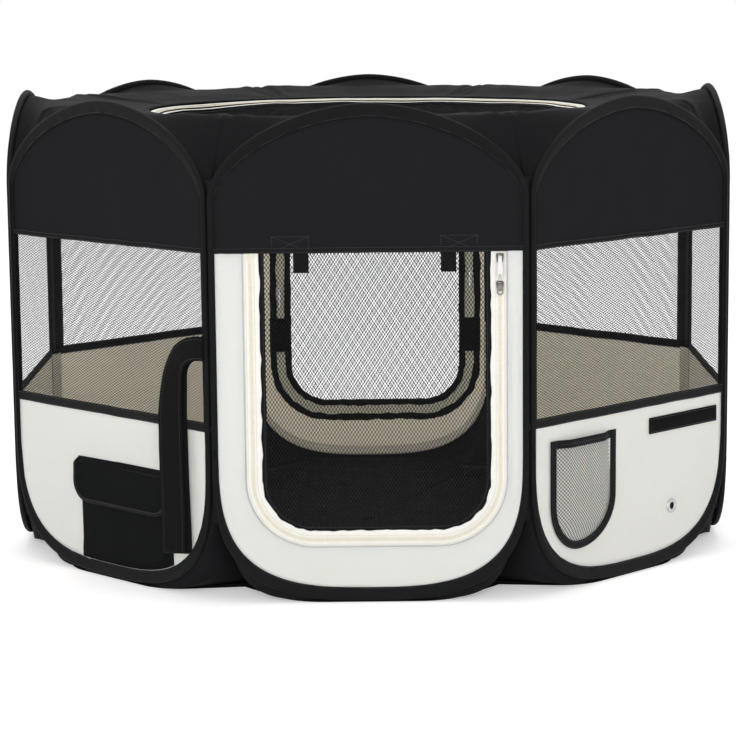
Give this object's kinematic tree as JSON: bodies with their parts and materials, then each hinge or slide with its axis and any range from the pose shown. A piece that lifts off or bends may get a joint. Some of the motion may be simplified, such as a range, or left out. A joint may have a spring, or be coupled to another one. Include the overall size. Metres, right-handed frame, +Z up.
{
  "type": "foldable dog playpen",
  "caption": "Free-standing pop-up pet playpen in fabric, with mesh windows, zipped mesh doors, a mesh roof cover, side pockets and a carry strap; its ring panels fold on sewn corners.",
  "frame": {"origin": "on the ground, under the middle of the pen", "axes": "+Z up, -Y towards the front door, +X to the right as seen from in front"},
  "size_m": [0.9, 0.904, 0.58],
  "materials": {
    "black_cloth": "plain woven coated cloth, matte",
    "black_binding": "folded woven binding, lightly ribbed",
    "black_net": "fine knitted netting; holes not cut out of the solid",
    "black_webbing": "woven webbing and touch tape",
    "cream_cloth": "off-white coated oxford cloth",
    "cream_zip": "off-white woven tape with a moulded coil",
    "spring_steel": "bright drawn wire",
    "zip_metal": "dark plated die casting",
    "eyelet_metal": "bright plated pressing"
  },
  "bodies": {
    "front_panel": {"front_ring_sleeve": "black_binding", "front_spring_wire": "spring_steel", "front_top_cloth": "black_cloth", "front_door_frame": "cream_cloth", "front_door_zip": "cream_zip", "rollup_strap_left": "black_webbing", "rollup_strap_right": "black_webbing"},
    "front_right_panel": {"front_right_ring_sleeve": "black_binding", "front_right_spring_wire": "spring_steel", "front_right_top_cloth": "black_cloth", "front_right_mesh_window": "black_net", "front_right_lower_cloth": "cream_cloth", "mesh_pocket": "black_net", "hook_and_loop_strip": "black_webbing", "eyelet": "eyelet_metal"},
    "right_panel": {"right_ring_sleeve": "black_binding", "right_spring_wire": "spring_steel", "right_top_cloth": "black_cloth", "right_mesh_window": "black_net", "right_lower_cloth": "cream_cloth"},
    "rear_right_panel": {"rear_right_ring_sleeve": "black_binding", "rear_right_spring_wire": "spring_steel", "rear_right_top_cloth": "black_cloth", "rear_right_mesh_window": "black_net", "rear_right_lower_cloth": "cream_cloth"},
    "rear_panel": {"rear_ring_sleeve": "black_binding", "rear_spring_wire": "spring_steel", "rear_top_cloth": "black_cloth", "rear_door_frame": "cream_cloth", "rear_door_zip": "cream_zip", "floor_cloth": "black_cloth", "corner_gussets": "black_cloth", "roof_cloth": "black_cloth", "roof_cover": "black_net"},
    "rear_left_panel": {"rear_left_ring_sleeve": "black_binding", "rear_left_spring_wire": "spring_steel", "rear_left_top_cloth": "black_cloth", "rear_left_mesh_window": "black_net", "rear_left_lower_cloth": "cream_cloth"},
    "left_panel": {"left_ring_sleeve": "black_binding", "left_spring_wire": "spring_steel", "left_top_cloth": "black_cloth", "left_mesh_window": "black_net", "left_lower_cloth": "cream_cloth"},
    "front_left_panel": {"front_left_ring_sleeve": "black_binding", "front_left_spring_wire": "spring_steel", "front_left_top_cloth": "black_cloth", "front_left_mesh_window": "black_net", "front_left_lower_cloth": "cream_cloth", "cargo_pocket": "black_cloth"},
    "front_door": {"front_mesh_door": "black_net"},
    "rear_door": {"rear_mesh_door": "black_net"},
    "front_zip_slider_upper": {"front_zip_slider_upper": "zip_metal"},
    "front_zip_slider_lower": {"front_zip_slider_lower": "zip_metal"},
    "front_zip_pull_upper": {"front_zip_pull_upper": "zip_metal"},
    "front_zip_pull_lower": {"front_zip_pull_lower": "zip_metal"},
    "rear_zip_slider_left": {"rear_zip_slider_left": "zip_metal"},
    "rear_zip_slider_right": {"rear_zip_slider_right": "zip_metal"},
    "pocket_flap": {"pocket_flap": "black_cloth"},
    "carry_strap": {"carry_strap": "black_webbing"}
  },
  "joints": [
    {"name": "rear_left_fold", "type": "hinge", "parent": "rear_panel", "child": "rear_left_panel", "pos_m": [-0.18504, 0.44674, 0], "axis": [0, 0, 1], "range_deg": [-125, 0], "deforming": ["floor_cloth", "corner_gussets", "roof_cloth", "roof_cover"]},
    {"name": "left_fold", "type": "hinge", "parent": "rear_left_panel", "child": "left_panel", "pos_m": [-0.4417, 0.18296, 0], "axis": [0, 0, -1], "range_deg": [-125, 0]},
    {"name": "front_left_fold", "type": "hinge", "parent": "left_panel", "child": "front_left_panel", "pos_m": [-0.44674, -0.18504, 0], "axis": [0, 0, 1], "range_deg": [-125, 0]},
    {"name": "front_fold", "type": "hinge", "parent": "front_left_panel", "child": "front_panel", "pos_m": [-0.18296, -0.4417, 0], "axis": [0, 0, -1], "range_deg": [-125, 0]},
    {"name": "rear_right_fold", "type": "hinge", "parent": "rear_panel", "child": "rear_right_panel", "pos_m": [0.18296, 0.4417, 0], "axis": [0, 0, 1], "range_deg": [-125, 0]},
    {"name": "right_fold", "type": "hinge", "parent": "rear_right_panel", "child": "right_panel", "pos_m": [0.44674, 0.18504, 0], "axis": [0, 0, -1], "range_deg": [-125, 0]},
    {"name": "front_right_fold", "type": "hinge", "parent": "right_panel", "child": "front_right_panel", "pos_m": [0.4417, -0.18296, 0], "axis": [0, 0, 1], "range_deg": [-125, 0]},
    {"name": "front_door_swing", "type": "hinge", "parent": "front_panel", "child": "front_door", "pos_m": [0, -0.4471, 0.41], "axis": [-1, 0, 0], "range_deg": [0, 110]},
    {"name": "rear_door_swing", "type": "hinge", "parent": "rear_panel", "child": "rear_door", "pos_m": [0, 0.4471, 0.41], "axis": [1, 0, 0], "range_deg": [0, 110]},
    {"name": "front_zip_upper_travel", "type": "slide", "parent": "front_panel", "child": "front_zip_slider_upper", "axis": [0, 0, -1], "range_m": [0, 0.21]},
    {"name": "front_zip_lower_travel", "type": "slide", "parent": "front_panel", "child": "front_zip_slider_lower", "axis": [0, 0, -1], "range_m": [0, 0.21]},
    {"name": "rear_zip_left_travel", "type": "slide", "parent": "rear_panel", "child": "rear_zip_slider_left", "axis": [0, 0, 1], "range_m": [-0.13, 0.115]},
    {"name": "rear_zip_right_travel", "type": "slide", "parent": "rear_panel", "child": "rear_zip_slider_right", "axis": [0, 0, 1], "range_m": [-0.1, 0.145]},
    {"name": "front_zip_upper_pull_swing", "type": "hinge", "parent": "front_zip_slider_upper", "child": "front_zip_pull_upper", "pos_m": [0.15, -0.45114, 0.404], "axis": [-1, 0, 0], "range_deg": [0, 120]},
    {"name": "front_zip_lower_pull_swing", "type": "hinge", "parent": "front_zip_slider_lower", "child": "front_zip_pull_lower", "pos_m": [0.15, -0.45114, 0.372], "axis": [-1, 0, 0], "range_deg": [0, 120]},
    {"name": "pocket_flap_swing", "type": "hinge", "parent": "front_left_panel", "child": "pocket_flap", "pos_m": [-0.29469, -0.33817, 0.146], "axis": [-0.7071, 0.7071, 0], "range_deg": [0, 100]},
    {"name": "carry_strap_swing", "type": "hinge", "parent": "front_left_panel", "child": "carry_strap", "pos_m": [-0.19096, -0.44586, 0.314], "axis": [-0.7071, 0.7071, 0], "range_deg": [0, 85]}
  ],
  "couplings": [
    {"joint": "left_fold", "follows": "rear_left_fold", "ratio": 1},
    {"joint": "front_left_fold", "follows": "rear_left_fold", "ratio": 1},
    {"joint": "front_fold", "follows": "rear_left_fold", "ratio": 1},
    {"joint": "rear_right_fold", "follows": "rear_left_fold", "ratio": 1},
    {"joint": "right_fold", "follows": "rear_left_fold", "ratio": 1},
    {"joint": "front_right_fold", "follows": "rear_left_fold", "ratio": 1},
    {"joint": "front_zip_lower_travel", "follows": "front_zip_upper_travel", "ratio": 1}
  ]
}
